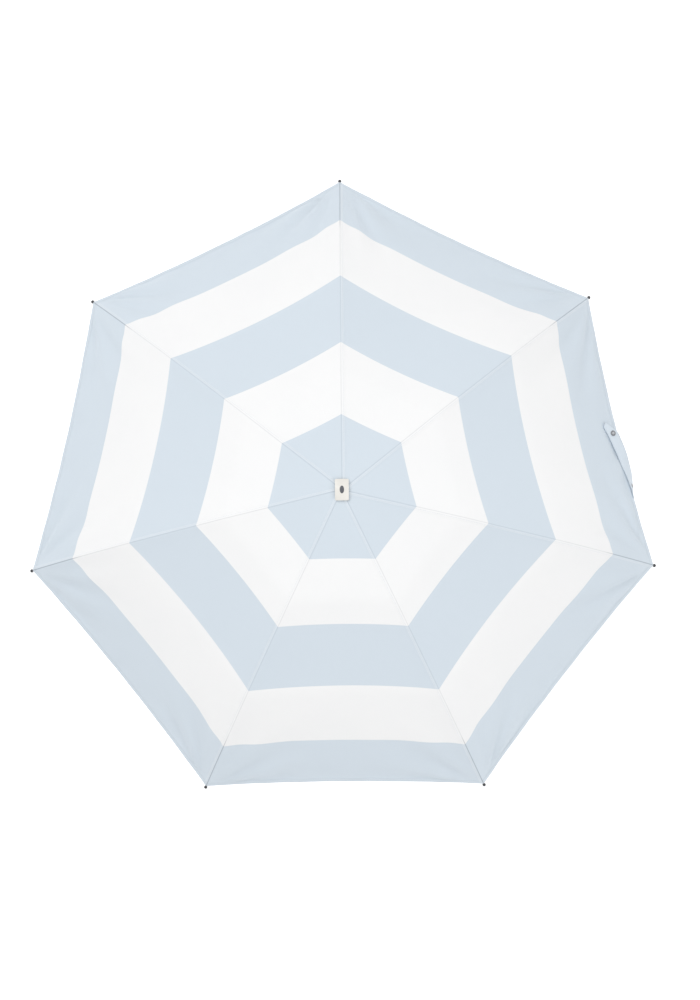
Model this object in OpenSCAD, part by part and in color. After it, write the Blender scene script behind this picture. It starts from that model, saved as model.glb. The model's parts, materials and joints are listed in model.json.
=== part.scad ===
// Compact folding umbrella: seven ribs in three hinged sections on a three-part telescopic shaft.
// +Z runs up the shaft. The origin is the centre of the handle's bottom face.
// Modelled open, with the shaft pulled out.

/* [Frame] */
// Length of each main rib, crown pivot to second pivot
main_rib_len = 165; // [155:1:170]
// Length of each middle rib, second pivot to third pivot
middle_rib_len = 165; // [155:1:168]
// Length of each outer rib along its curve, third pivot to tip
outer_rib_len = 201; // [190:1:204]
// Downward slope of the main ribs when open, degrees
main_slope = 7.5; // [6:0.5:9]
// Downward slope of the middle ribs when open, degrees
middle_slope = 21; // [19:0.5:23]
// Downward slope of the outer ribs at their pivot when open, degrees
outer_slope = 31; // [29:0.5:33]
// Downward slope of the outer ribs at their tips when open, degrees
tip_slope = 48; // [44:0.5:50]
// Distance of the stretcher pivot from the crown pivot, along the main rib
stretcher_at = 80; // [76:1:82]
// Radius of the ring of crown pivots
crown_pivot_r = 13.5; // [13.5:0.1:14]
// Radius of the ring that the stretchers meet on the runner
runner_pivot_r = 10.5; // [10.4:0.1:10.8]
// Height of the runner's ring below the crown pivots when open
runner_drop = 56; // [54:0.5:58]
// Radius of the balls on the rib tips
tip_ball_r = 2.6; // [2.2:0.1:3]

/* [Canopy] */
// Thickness of the canopy solid
fabric_t = 0.6; // [0.5:0.1:1]
// Length of uncovered rib between the canopy's corner and the tip's centre
bare_tip = 7; // [6:0.5:9]
// How far each panel's middle draws in towards the shaft
panel_bow = 7.6; // [5:0.1:9]
// How far each panel's middle sags below its ribs
panel_sag = 13; // [9:0.5:15]

/* [Shaft and handle] */
// Outer radius of the lower tube
lower_tube_r = 4.2; // [4.2:0.05:4.25]
// Wall of each tube
tube_wall = 0.6; // [0.5:0.05:0.6]
// Radial clearance of each sliding fit
slide_gap = 0.05; // [0.04:0.01:0.06]
// How far each telescopic joint slides
telescope = 148; // [140:1:148]
// Height of the handle
handle_h = 58; // [54:1:60]
// Radius of the handle
handle_r = 17; // [16:0.5:18]

/* [Strap and cap] */
// Width of the closing strap
strap_w = 19; // [17:1:21]
// Thickness of the closing strap
strap_t = 1.2; // [1:0.1:1.4]
// Length of the closing strap
strap_len = 122; // [112:1:126]
// Radius of the press-stud on the strap
snap_r = 4; // [3.5:0.25:4.5]
// Width of the cap on the crown
cap_w = 20; // [18:1:22]
// Length of the cap on the crown
cap_l = 31; // [28:1:32]

/* [Hidden] */
$fn = 48;
// How far cutting bodies reach past a surface, and a length beyond anything they cross
past = 1;
far = 20;

rib_count = 7;
sector = 360 / rib_count;
half_sector = sector / 2;
first_rib_angle = 90;
strap_rib = 3;
button_angle = -90;

// Shaft tubes, from the thinnest at the handle to the thickest at the crown
middle_tube_r = lower_tube_r + slide_gap + tube_wall;
upper_tube_r = middle_tube_r + slide_gap + tube_wall;
tube_overlap = 45;
collar_h = 2;
collar_gap = 1.5;
upper_tube_len = 214;
middle_tube_end = handle_h + collar_h + collar_gap + telescope;
upper_tube_end = middle_tube_end + telescope;
middle_tube_top = upper_tube_end + tube_overlap;
crown_z = upper_tube_end + upper_tube_len;
lower_tube_end = middle_tube_end + tube_overlap;
lower_tube_start = 12;

// Main rib: a channel, open towards the canopy
channel_w = 3.8;
channel_top = 1.5;
channel_bottom = -1.8;
trough_w = 2.7;
trough_floor = -1.45;
trough_start = 12;
rib_eye_r = 1.6;
rib_end = 1.05;
rivet_short = 0.2;
stretcher_rivet_head = 0.4;
wire_eye_r = 0.8;
wire_r = 0.6;

// Middle rib: a bar that lies in the main rib's channel when folded
bar_w = 2.2;
bar_h = 2.2;
bar_eye_r = 1.25;
pin_r = 0.55;
pin_eye_r = 0.6;

// Outer rib: a fork over the middle rib, then a curved rod
fork_w = 3.6;
fork_gap = 2.5;
fork_h = 2.8;
fork_len = 18;
fork_slot = 16.5;
rod_r = 1.1;
arc_root = 0.1;
arc_turn = tip_slope - outer_slope;
arc_r = (outer_rib_len - fork_len) * 180 / (PI * arc_turn);

// Stretcher: a channel that lies over the main rib's underside when folded
cheek_in = 2.1;
cheek_out = 2.6;
cheek_h = 1.2;
stretcher_floor = -2.6;
stretcher_floor_t = 0.5;
stretcher_floor_start = 9;
stretcher_pin_r = 0.8;
stretcher_eye_r = 0.85;
stretcher_end_gap = 1.6;
stretcher_nose = 0.5;
stretcher_taper = 16;

// Where the stretcher lies when open, in the plane of its rib, from the crown pivot's height
stretcher_x = crown_pivot_r + stretcher_at * cos(main_slope) - runner_pivot_r;
stretcher_z = runner_drop - stretcher_at * sin(main_slope);
stretcher_len = norm([stretcher_x, stretcher_z]);
stretcher_slope = 180 - atan2(stretcher_z, stretcher_x);

// Crown and runner
crown_r = 16.5;
crown_top = 2.6;
crown_bottom = -4.5;
crown_slot_w = 4.4;
crown_slot_in = 9.5;
post_r = 3;
post_top = 8;
runner_z = crown_z - runner_drop;
flange_r = 13.3;
flange_h = 4.5;
runner_slot_w = 6;
neck_r = 7;
neck_h = 12;
grip_r = 11;
grip_top = 18;
runner_len = 38;

// Release button: a yoke round the upper tube with a tooth on its far side
button_travel = 1.6;
button_h = 5;
button_z = runner_z - 27;
yoke_w = 13.2;
yoke_hole_r = 5.8;
yoke_front = 12.8;
yoke_back = 7.4;
yoke_gap = 0.15;
spring_pocket = 9.9;
spring_r = 1.8;
spring_wall = 0.5;
tooth_r = 1.3;
tooth_hole_r = 1.6;
tooth_root = 0.5;
tooth_in = upper_tube_r + 2 * slide_gap;

// Canopy
fabric_hole_r = 3.6;
fabric_lift = 0.5;
seam_gap = 0.2;
rib_gap = 1.1;
flat_r = crown_r + 0.5;
flat_top = crown_top + fabric_lift + fabric_t;
ridge_lift = channel_top + rib_gap + fabric_t;
corner_at = outer_rib_len - bare_tip;
across = 8;
rows_middle = [0.25, 0.5, 0.75];
rows_main = [45, 85, 125];
rows_outer = 8;
draw_angle = 140;
sag_angle = 140;
sag_power = 1.5;

// Handle
round_step = 15;
bottom_round = 3;
top_round = 6;
collar_round = 1;
cavity_r = 13;
cavity_h = 8;
end_cap_t = 3;
cord_hole_r = 2.25;
cord_hole_x = 7;
collar_r = 9;
screw_r = 1.5;
screw_head_r = 3;
screw_head_h = 2;
screw_end = 22;
screw_slot_w = 0.8;
screw_slot_l = 4;
screw_slot_h = 1;
plug_h = 12;

// Top of the upper tube and the cap over the canopy, above the crown pivots
tube_top = 1;
cap_bottom = 4.4;
cap_h = 6;
cap_round = 2;
cap_dome = 45;

// Tip and strap
tip_neck_r = 1.7;
tip_neck_len = 5.5;
tip_bore_gap = 0.1;
strap_root = -0.495;
strap_out = 1.5;
strap_in = 35;
strap_curve = 1.5;
strap_flat_slope = 24;
strap_flat_at = 0.8;
strap_lift = 2.9;
strap_cols = 13;
snap_h = 1.2;
snap_floor = 0.6;
snap_rim = 1.5;
snap_at = 19;
snap_lift = 0.35;
stud_base_r = 3.4;
stud_base_h = 0.5;
stud_r = 1.6;
stud_h = 1.2;

// ---- Ribs and canopy as points [distance from the shaft, height above the crown pivots]

function along(slope, length) = [length * cos(slope), -length * sin(slope)];

function second_pivot() = [crown_pivot_r, 0] + along(main_slope, main_rib_len);

function third_pivot() = second_pivot() + along(middle_slope, middle_rib_len);

// Slope of the outer rib at a distance u along it from the third pivot
function outer_rib_slope(u) = outer_slope + arc_turn * max(0, u - fork_len) / (outer_rib_len - fork_len);

// Centre line of the outer rib at a distance u along it
function outer_rib_point(u) =
    let (straight = min(u, fork_len), a = outer_rib_slope(u))
    third_pivot() + along(outer_slope, straight)
    + arc_r * [sin(a) - sin(outer_slope), cos(a) - cos(outer_slope)];

// A point at a height h above a rib with the given slope
function lifted(p, slope, h) = p + h * [sin(slope), cos(slope)];

// The canopy's upper surface over a rib, from the hole at the post to the corner at the tip
RIDGE = concat(
    [[fabric_hole_r, flat_top], [flat_r, flat_top]],
    [for (u = rows_main) lifted([crown_pivot_r, 0] + along(main_slope, u), main_slope, ridge_lift)],
    [lifted(second_pivot(), (main_slope + middle_slope) / 2, ridge_lift)],
    [for (u = rows_middle)
        lifted(second_pivot() + along(middle_slope, u * middle_rib_len), middle_slope, ridge_lift)],
    [lifted(third_pivot(), (middle_slope + outer_slope) / 2, ridge_lift)],
    [for (k = [0 : rows_outer - 1])
        let (u = fork_len + (corner_at - fork_len) * k / (rows_outer - 1))
        lifted(outer_rib_point(u), outer_rib_slope(u), ridge_lift)]
);
RIM_R = RIDGE[len(RIDGE) - 1][0];

// A panel's surface beside a point of the ridge: t runs from -1 at one rib to 1 at the next
function draw_in(f) = panel_bow * sin(draw_angle * f * f);
function sag_down(f) = panel_sag * sin(sag_angle * pow(f, sag_power));
function panel_point(ridge, t, gap) =
    let (f = ridge[0] / RIM_R, curve = 1 - t * t)
    [
        ridge[0] * cos(half_sector) - draw_in(f) * curve,
        t * (ridge[0] * sin(half_sector) - gap),
        ridge[1] - sag_down(f) * curve
    ];

// Triangles of a closed sheet: rows x cols upper points, then the same number of lower points
function quad(a, b, c, d) = [[a, b, c], [a, c, d]];
function sheet_faces(rows, cols) =
    let (n = rows * cols)
    [
        for (i = [0 : rows - 2], j = [0 : cols - 2])
            let (a = i * cols + j)
            each concat(
                quad(a, a + 1, a + cols + 1, a + cols),
                quad(n + a, n + a + cols, n + a + cols + 1, n + a + 1)
            ),
        for (i = [0 : rows - 2])
            let (a = i * cols, b = i * cols + cols - 1)
            each concat(
                quad(a, a + cols, n + a + cols, n + a),
                quad(b, n + b, n + b + cols, b + cols)
            ),
        for (j = [0 : cols - 2])
            let (b = (rows - 1) * cols + j)
            each concat(
                quad(j, n + j, n + j + 1, j + 1),
                quad(b, b + 1, n + b + 1, n + b)
            )
    ];

function rib_angle(i) = first_rib_angle - (i - 1) * sector;

// ---- Placing

// At a rib's crown pivot, X outwards and Z upwards
module at_crown(i) {
    rotate([0, 0, rib_angle(i)]) translate([crown_pivot_r, 0, crown_z]) children();
}

// At a rib's crown pivot, X along the main rib
module at_main(i) {
    at_crown(i) rotate([0, main_slope, 0]) children();
}

// At a rib's second pivot, X along the middle rib
module at_middle(i) {
    at_main(i) translate([main_rib_len, 0, 0]) rotate([0, middle_slope - main_slope, 0]) children();
}

// At a rib's third pivot, X along the outer rib's root
module at_outer(i) {
    at_middle(i) translate([middle_rib_len, 0, 0]) rotate([0, outer_slope - middle_slope, 0]) children();
}

// At the release button, X towards the runner's front
module at_button() {
    translate([0, 0, button_z]) rotate([0, 0, button_angle]) children();
}

// A cylinder along Y with its middle at the origin
module cross_pin(r, length) {
    rotate([90, 0, 0]) cylinder(r=r, h=length, center=true);
}

// A box given by its ends along X, its width along Y and its ends along Z
module bar(x0, x1, w, z0, z1) {
    translate([x0, -w / 2, z0]) cube([x1 - x0, w, z1 - z0]);
}

// A tube along Z
module tube(z0, z1, r, wall) {
    translate([0, 0, z0]) difference() {
        cylinder(r=r, h=z1 - z0);
        translate([0, 0, -past]) cylinder(r=r - wall, h=z1 - z0 + 2 * past);
    }
}

// A ring of round wire
module wire_ring(r, z) {
    translate([0, 0, z]) rotate_extrude() translate([r, 0]) circle(r=wire_r);
}

// A rectangle with round corners, centred
module rounded_rect(w, l, r) {
    square([w - 2 * r, l], center=true);
    square([w, l - 2 * r], center=true);
    for (x = [-1, 1], y = [-1, 1]) translate([x * (w / 2 - r), y * (l / 2 - r)]) circle(r=r);
}

// ---- Handle

module handle_grip() {
    color("whitesmoke") difference() {
        rotate_extrude() polygon(concat(
            [[0, 0]],
            [for (a = [-90 : round_step : 0])
                [handle_r, bottom_round] + bottom_round * [cos(a) - 1, sin(a)]],
            [for (a = [0 : round_step : 90])
                [handle_r, handle_h] + top_round * [cos(a) - 1, sin(a) - 1]],
            [[0, handle_h]]
        ));
        translate([0, 0, -past]) cylinder(r=cavity_r, h=cavity_h + past);
        translate([0, 0, lower_tube_start]) cylinder(r=lower_tube_r + slide_gap, h=handle_h);
        cylinder(r=screw_r + slide_gap, h=handle_h);
    }
}

// Pressed into the cavity, flush with the handle's bottom, with a hole for a wrist cord
module handle_end_cap() {
    color("lightsteelblue") difference() {
        cylinder(r=cavity_r - slide_gap, h=end_cap_t);
        translate([cord_hole_x, 0, -past]) cylinder(r=cord_hole_r, h=end_cap_t + 2 * past);
    }
}

module handle_collar() {
    color("silver") translate([0, 0, handle_h]) rotate_extrude() polygon(concat(
        [[lower_tube_r + slide_gap, 0], [collar_r, 0]],
        [for (a = [0 : round_step : 90]) [collar_r, collar_h] + collar_round * [cos(a) - 1, sin(a) - 1]],
        [[lower_tube_r + slide_gap, collar_h]]
    ));
}

module handle_screw() {
    color("silver") difference() {
        union() {
            translate([0, 0, cavity_h - screw_head_h]) cylinder(r=screw_head_r, h=screw_head_h);
            translate([0, 0, cavity_h - screw_head_h / 2])
                cylinder(r=screw_r, h=screw_end - cavity_h + screw_head_h / 2);
        }
        for (a = [0, 90]) rotate([0, 0, a]) translate([0, 0, cavity_h - screw_head_h])
            cube([screw_slot_l, screw_slot_w, 2 * screw_slot_h], center=true);
    }
}

// ---- Shaft

module shaft_lower() {
    color("silver") difference() {
        union() {
            tube(lower_tube_start, lower_tube_end, lower_tube_r, tube_wall);
            translate([0, 0, lower_tube_start]) cylinder(r=lower_tube_r - tube_wall / 2, h=plug_h);
        }
        translate([0, 0, lower_tube_start - past])
            cylinder(r=screw_r + slide_gap, h=screw_end - lower_tube_start + 2 * past);
    }
}

module shaft_middle() {
    color("silver") tube(middle_tube_end, middle_tube_top, middle_tube_r, tube_wall);
}

module shaft_upper() {
    color("silver") difference() {
        tube(upper_tube_end, crown_z + tube_top, upper_tube_r, tube_wall);
        at_button() rotate([0, -90, 0]) cylinder(r=tooth_hole_r, h=far);
    }
}

// ---- Crown

module crown() {
    color("dimgray") translate([0, 0, crown_z]) difference() {
        union() {
            translate([0, 0, crown_bottom]) cylinder(r=crown_r, h=crown_top - crown_bottom);
            cylinder(r=post_r, h=post_top);
        }
        translate([0, 0, crown_bottom - past])
            cylinder(r=upper_tube_r + slide_gap, h=tube_top + slide_gap + past - crown_bottom);
        for (i = [1 : rib_count]) rotate([0, 0, rib_angle(i)])
            bar(crown_slot_in, far, crown_slot_w, crown_bottom - past, crown_top + past);
        rotate_extrude() translate([crown_pivot_r, 0]) circle(r=wire_r + slide_gap);
    }
}

module crown_wire() {
    color("silver") wire_ring(crown_pivot_r, crown_z);
}

module crown_cap() {
    color("ivory") translate([0, 0, crown_z + cap_bottom]) difference() {
        intersection() {
            linear_extrude(cap_h) rounded_rect(cap_w, cap_l, cap_round);
            translate([0, 0, cap_h - cap_dome]) sphere(r=cap_dome, $fn=96);
        }
        translate([0, 0, -past]) cylinder(r=post_r + slide_gap, h=post_top - cap_bottom + slide_gap + past);
    }
}

// ---- Runner

module runner() {
    button_room = button_h / 2 + yoke_gap;
    color("dimgray") translate([0, 0, runner_z]) difference() {
        union() {
            translate([0, 0, -flange_h]) cylinder(r=flange_r, h=2 * flange_h);
            translate([0, 0, -neck_h]) cylinder(r=neck_r, h=neck_h + flange_h);
            translate([0, 0, -grip_top]) cylinder(r1=grip_r, r2=neck_r, h=grip_top - neck_h);
            translate([0, 0, -runner_len]) cylinder(r=grip_r, h=runner_len - grip_top);
        }
        translate([0, 0, -runner_len - past]) cylinder(r=upper_tube_r + slide_gap, h=runner_len + far);
        for (i = [1 : rib_count]) rotate([0, 0, rib_angle(i)])
            bar(neck_r - slide_gap, far, runner_slot_w, -flange_h - past, flange_h + past);
        rotate_extrude() translate([runner_pivot_r, 0]) circle(r=wire_r + slide_gap);
        translate([0, 0, -runner_z]) at_button()
            bar(-spring_pocket, far, yoke_w + 2 * yoke_gap, -button_room, button_room);
    }
}

module runner_wire() {
    color("silver") wire_ring(runner_pivot_r, runner_z);
}

// X points out of the runner's front, where the thumb presses
module release_button() {
    color("slategray") at_button() {
        difference() {
            intersection() {
                bar(-yoke_back, yoke_front, yoke_w, -button_h / 2, button_h / 2);
                cylinder(r=yoke_front, h=button_h, center=true);
            }
            for (x = [0, button_travel]) translate([x, 0, 0]) cylinder(r=yoke_hole_r, h=far, center=true);
            bar(0, button_travel, 2 * yoke_hole_r, -far, far);
        }
        translate([-yoke_hole_r - tooth_root, 0, 0]) rotate([0, 90, 0])
            cylinder(r=tooth_r, h=yoke_hole_r + tooth_root - tooth_in);
    }
}

module button_spring() {
    color("silver") at_button() translate([-spring_pocket + slide_gap, 0, 0]) rotate([0, 90, 0])
        tube(0, spring_pocket - yoke_back - 2 * slide_gap, spring_r, spring_wall);
}

// ---- Ribs

module main_rib(i) {
    color("darkgray") at_main(i) difference() {
        union() {
            difference() {
                bar(0, main_rib_len + rib_end, channel_w, channel_bottom, channel_top);
                bar(trough_start, main_rib_len + far, trough_w, trough_floor, channel_top + past);
            }
            cross_pin(rib_eye_r, channel_w);
            translate([main_rib_len, 0, 0]) cross_pin(pin_r, channel_w - rivet_short);
            translate([stretcher_at, 0, 0])
                cross_pin(stretcher_pin_r, 2 * cheek_out + stretcher_rivet_head);
        }
        cross_pin(wire_eye_r, far);
        difference() {
            bar(-far, 0, far, -far, far);
            cross_pin(rib_eye_r, 2 * far);
        }
    }
}

module stretcher(i) {
    end = stretcher_len - stretcher_end_gap;
    color("gray") at_main(i) translate([stretcher_at, 0, 0]) rotate([0, stretcher_slope - main_slope, 0])
        difference() {
            union() {
                bar(0, end, 2 * cheek_out, stretcher_floor, cheek_h);
                cross_pin(rib_eye_r, 2 * cheek_out);
            }
            bar(-far, stretcher_floor_start, 2 * cheek_in, -far, far);
            bar(-far, end + far, 2 * cheek_in, stretcher_floor + stretcher_floor_t, far);
            bar(0, stretcher_floor_start, far, -far, -rib_eye_r);
            translate([end, 0, stretcher_nose]) rotate([0, -stretcher_taper, 0]) bar(-far, far, far, -far, 0);
            cross_pin(stretcher_eye_r, far);
        }
}

module middle_rib(i) {
    color("darkgray") at_middle(i) difference() {
        union() {
            bar(0, middle_rib_len, bar_w, -bar_h / 2, bar_h / 2);
            cross_pin(bar_eye_r, bar_w);
            translate([middle_rib_len, 0, 0]) cross_pin(bar_eye_r, bar_w);
        }
        cross_pin(pin_eye_r, far);
        translate([middle_rib_len, 0, 0]) cross_pin(pin_eye_r, far);
    }
}

module outer_rib(i) {
    color("dimgray") at_outer(i) {
        difference() {
            union() {
                bar(0, fork_len, fork_w, -fork_h / 2, fork_h / 2);
                cross_pin(fork_h / 2, fork_w);
            }
            bar(-far, fork_slot, fork_gap, -far, far);
        }
        cross_pin(pin_r, fork_w - rivet_short);
        translate([fork_len, 0, -arc_r]) rotate([90, 0, 0]) rotate([0, 0, 90 - arc_turn])
            rotate_extrude(angle=arc_turn + arc_root) translate([arc_r, 0]) circle(r=rod_r);
    }
}

// The ball and its neck are pressed on the end of the rod
module rib_tip(i) {
    color("dimgray") at_outer(i) translate([fork_len, 0, -arc_r]) rotate([0, arc_turn, 0])
        translate([0, 0, arc_r]) rotate([0, -90, 0]) difference() {
            union() {
                sphere(r=tip_ball_r);
                cylinder(r=tip_neck_r, h=tip_neck_len);
            }
            translate([0, 0, -tip_bore_gap])
                cylinder(r=rod_r + tip_bore_gap, h=tip_neck_len + tip_bore_gap + past);
        }
}

// ---- Canopy and strap

module canopy_panel(i) {
    rows = len(RIDGE);
    cols = across + 1;
    upper = [for (p = RIDGE, j = [0 : across]) panel_point(p, 2 * j / across - 1, seam_gap)];
    lower = [for (p = upper) p - [0, 0, fabric_t]];
    color("lightblue") translate([0, 0, crown_z]) rotate([0, 0, rib_angle(i) - half_sector])
        polyhedron(concat(upper, lower), sheet_faces(rows, cols));
}

// The panel's hem and the row of the ridge above it, at t between the ribs
function hem_point(t) = panel_point(RIDGE[len(RIDGE) - 1], t, 0);
function above_hem(t) = panel_point(RIDGE[len(RIDGE) - 2], t, 0);

// A point of the strap's panel at t between the ribs, inset from the hem and lifted by h
function over_panel(t, inset, h) =
    let (rise = above_hem(t) - hem_point(t))
    hem_point(t) + inset * rise / norm(rise) + [0, 0, h];

// Along the strap, k runs from 0 at its root, which hangs from the hem, to 1 at its free end on the canopy
function strap_t_at(k) = strap_root + k * strap_len / (RIM_R * sin(half_sector));
function strap_slope(k) = 90 - (90 - strap_flat_slope) * sin(90 * min(1, k / strap_flat_at));
function strap_normal(k) = [sin(strap_slope(k)), 0, cos(strap_slope(k))];

// A point of the strap's underside, side across from its inner edge
function strap_point(k, side) =
    over_panel(strap_t_at(k), (strap_in + strap_out) * pow(k, strap_curve) - strap_out, strap_lift)
    + side * [cos(strap_slope(k)), 0, -sin(strap_slope(k))];

module strap_place() {
    translate([0, 0, crown_z]) rotate([0, 0, rib_angle(strap_rib) + half_sector]) children();
}

// On the middle of the strap's outer face, Y along the strap and Z away from it
module on_strap(k) {
    step = 1 / strap_cols;
    along = strap_point(k + step / 2, strap_w / 2) - strap_point(k - step / 2, strap_w / 2);
    x = cross([0, 1, 0], strap_normal(k));
    z = cross(x, along / norm(along));
    y = cross(z, x);
    at = strap_point(k, strap_w / 2) + (strap_t + snap_lift) * strap_normal(k);
    strap_place() multmatrix([for (row = [0 : 2]) [x[row], y[row], z[row], at[row]]]) children();
}

// Sewn to the hem at one end and turning over it onto the canopy
module closing_strap() {
    steps = [for (j = [0 : strap_cols - 1]) j / (strap_cols - 1)];
    lower = [for (side = [strap_w, 0], k = steps) strap_point(k, side)];
    upper = [for (side = [strap_w, 0], k = steps) strap_point(k, side) + strap_t * strap_normal(k)];
    color("lightblue") strap_place() polyhedron(concat(upper, lower), sheet_faces(2, strap_cols));
}

// The press-stud's ring, near the strap's free end
module strap_snap() {
    color("gray") on_strap(1 - snap_at / strap_len) difference() {
        cylinder(r=snap_r, h=snap_h);
        translate([0, 0, snap_floor]) cylinder(r=snap_r - snap_rim, h=snap_h);
    }
}

// The press-stud's other half, near the strap's root
module snap_stud() {
    color("gray") on_strap(snap_at / strap_len) {
        cylinder(r=stud_base_r, h=stud_base_h);
        cylinder(r=stud_r, h=stud_h);
    }
}

handle_grip();
handle_end_cap();
handle_collar();
handle_screw();
shaft_lower();
shaft_middle();
shaft_upper();
crown();
crown_wire();
crown_cap();
runner();
runner_wire();
release_button();
button_spring();
for (i = [1 : rib_count]) {
    main_rib(i);
    stretcher(i);
    middle_rib(i);
    outer_rib(i);
    rib_tip(i);
    canopy_panel(i);
}
closing_strap();
strap_snap();
snap_stud();
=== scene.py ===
"""A compact folding umbrella, seen from above its open canopy."""
import json
import math

import bmesh
import bpy
from mathutils import Matrix, Vector, noise


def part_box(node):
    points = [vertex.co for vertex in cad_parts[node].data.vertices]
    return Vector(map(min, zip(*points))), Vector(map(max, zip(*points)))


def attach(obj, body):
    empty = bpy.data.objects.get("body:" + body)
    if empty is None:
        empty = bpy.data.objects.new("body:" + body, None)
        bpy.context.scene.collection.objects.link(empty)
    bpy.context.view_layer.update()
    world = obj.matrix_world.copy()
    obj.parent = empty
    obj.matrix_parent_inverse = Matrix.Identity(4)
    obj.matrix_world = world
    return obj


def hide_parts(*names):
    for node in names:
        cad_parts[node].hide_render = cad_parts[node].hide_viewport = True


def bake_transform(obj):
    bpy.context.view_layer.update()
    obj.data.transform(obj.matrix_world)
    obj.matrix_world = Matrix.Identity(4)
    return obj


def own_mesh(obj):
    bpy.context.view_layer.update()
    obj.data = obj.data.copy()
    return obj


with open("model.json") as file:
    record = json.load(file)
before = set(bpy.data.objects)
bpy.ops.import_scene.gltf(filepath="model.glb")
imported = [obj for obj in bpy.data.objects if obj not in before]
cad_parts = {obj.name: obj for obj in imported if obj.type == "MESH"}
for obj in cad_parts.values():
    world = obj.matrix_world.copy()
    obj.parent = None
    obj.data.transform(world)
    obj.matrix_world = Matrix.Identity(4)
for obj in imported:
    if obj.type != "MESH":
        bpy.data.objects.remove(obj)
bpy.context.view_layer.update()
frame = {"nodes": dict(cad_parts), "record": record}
MM = 0.001

# ---- Sizes, in metres and radians. Positions come from the frame's joints and boxes.

RIBS = 7
SECTOR = 2 * math.pi / RIBS
HALF = SECTOR / 2
FIRST_RIB = math.pi / 2
STRAP_RIB = 3

OUTER_SLOPE = math.radians(31)  # the outer rib at its pivot
TIP_SLOPE = math.radians(48)  # and at its tip
FORK_LEN = 18 * MM  # the straight root of the outer rib
OUTER_LEN = 201 * MM
BARE_TIP = 7 * MM  # rib that shows between the cloth's corner and the tip's centre

RIDGE_LIFT = 3.2 * MM  # cloth above the ribs' centre lines
CROWN_LIFT = 3.5 * MM  # and above the crown's pivots
FLAT_R = 17 * MM
FIRST_ROW = 45 * MM  # from the crown's pivots to where the cloth lies on the ribs
HOLE_R = 3.2 * MM
ROSETTE_R = 10 * MM  # the middle of the canopy, which stays with the crown
RIBBON = 7.3 * MM  # how far each side of a rib its cloth keeps its width when folded
CORNER_WINDOW = 10 * MM  # how far each side of a corner the ridge is rounded
STEP = 0.5 * MM

BOW = 7.6 * MM  # how far a panel's middle draws in
SAG = 13 * MM  # how far it sags
BEND_TURN = math.radians(140)  # how much of a sine wave both follow between the shaft and the hem
SAG_POWER = 1.5
BAND = 111 * MM  # width of each woven band

# The mesh of a panel: where its outer rows start, how many rows and columns, and steps for the slope
INNER_S = 24 * MM
INNER_ROWS = 5
ROWS = 96
COLUMNS = 56
SLOPE_STEPS = 4
ARC_PIECES = 24
WELD = 0.001 * MM

# The cloth's creases: waviness, fans from the corners and puckers behind the hem
CREASE_EDGE = 0.22  # share of the half width in which they rise beside a rib
HEM_HOLD = 0.85  # share of them that the stitched hem takes out
HEM_HOLD_W = 10 * MM
PANEL_SEED = (3.7, 1.9)  # shift of the noise from one panel to the next
WAVE_H = 1.1 * MM
WAVES_ACROSS = 7  # per metre
WAVES_DOWN = 5
WAVE_FROM = 0.25
WAVE_FULL = 0.75
FAN_H = 2.7 * MM
FAN_RAYS = 13
FAN_SHIFT = 1.3  # from one panel to the next
FAN_DRIFT = 2
FAN_BACK = 4 * MM  # how far outside the hem a fan's rays meet
FAN_START = 40 * MM
FAN_FULL = 70 * MM
FAN_FADE = 150 * MM
PUCKER_H = 1.4 * MM
PUCKER_W = 11 * MM
PUCKER_REACH = 36 * MM
PUCKER_DRIFT = 2.5
PUCKER_DRIFTS_ACROSS = 20
PUCKER_LAYER = 5

STRAP_LEN = 122 * MM
STRAP_W = 19 * MM
STRAP_T = 1.0 * MM
STRAP_ROOT = -0.495  # where its root lies between the ribs
STRAP_OUT = -0.3 * MM  # how far outside the hem its inner edge lies there
STRAP_IN = 35 * MM  # how far inside the hem its inner edge lies at its free end
STRAP_CURVE = 1.5
STRAP_FLAT = math.radians(24)  # slope across its free end; its root hangs upright
STRAP_FLAT_AT = 0.8
STRAP_LIFT = 2.6 * MM
STRAP_TIP = 0.64  # how far across its rounded free end reaches furthest
STRAP_SLANT = 20 * MM
STRAP_SLANT_POWER = 1.4
STRAP_ROUND = 8 * MM
STRAP_END_FROM = 0.45
STRAP_END_POWER = 1.5
STRAP_WAVES = [(0.5 * MM, 9, 0.6), (0.3 * MM, 23, 1)]  # height, turn along it, and start
STRAP_CUP = 0.9 * MM
STRAP_CURL = 0.9 * MM
STRAP_CURL_FROM = 0.85
STRAP_FIXED = 0.15
STRAP_STEPS = 14
STRAP_ROWS = 80
STRAP_FOLD = 0.2  # share of its length across the panel that it keeps when folded
FOLDED_ROOT = -5 * MM  # where its root lies beside its rib when folded

# The press-stud's two halves: their distance from the strap's ends, and profiles in millimetres
SNAP_AT = 19 * MM
SNAP_SIDES = 48
RING_PROFILE = [(2.2, -0.4), (4.1, -0.3), (4.35, 0.2), (4.1, 0.75), (3.5, 1.05), (2.8, 0.95), (2.3, 0.5)]
RING_PROFILE += [(2.1, 0.35), (1.4, 0.4), (0.6, 0.5)]
STUD_PROFILE = [(1.5, 0.0), (3.3, 0.0), (3.4, 0.3), (1.9, 0.5), (1.4, 0.6), (1.6, 0.9), (1.5, 1.15)]
STUD_PROFILE += [(0.6, 1.2)]

SPRING_WIRE = 0.22 * MM
SPRING_TURNS = 3
SPRING_STEPS = 20
SPRING_SIDES = 8

HEM_W = 7 * MM
HEM_T = 0.35 * MM
HEM_EDGE = 0.3 * MM
HEM_STEP = 0.4 * MM
SEAM_W = 4.6 * MM
SEAM_T = 0.3 * MM
SEAM_SOFT = 0.8 * MM
GROOVE_T = 0.35 * MM
GROOVE_W = 0.7 * MM
SEAM_COLUMNS = [0.0, 0.35 * MM, 0.9 * MM, 2.5 * MM, SEAM_W, SEAM_W + 0.9 * MM, 9 * MM]
SEAM_SHARE = 0.9  # most of a narrow panel that these columns may take

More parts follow.
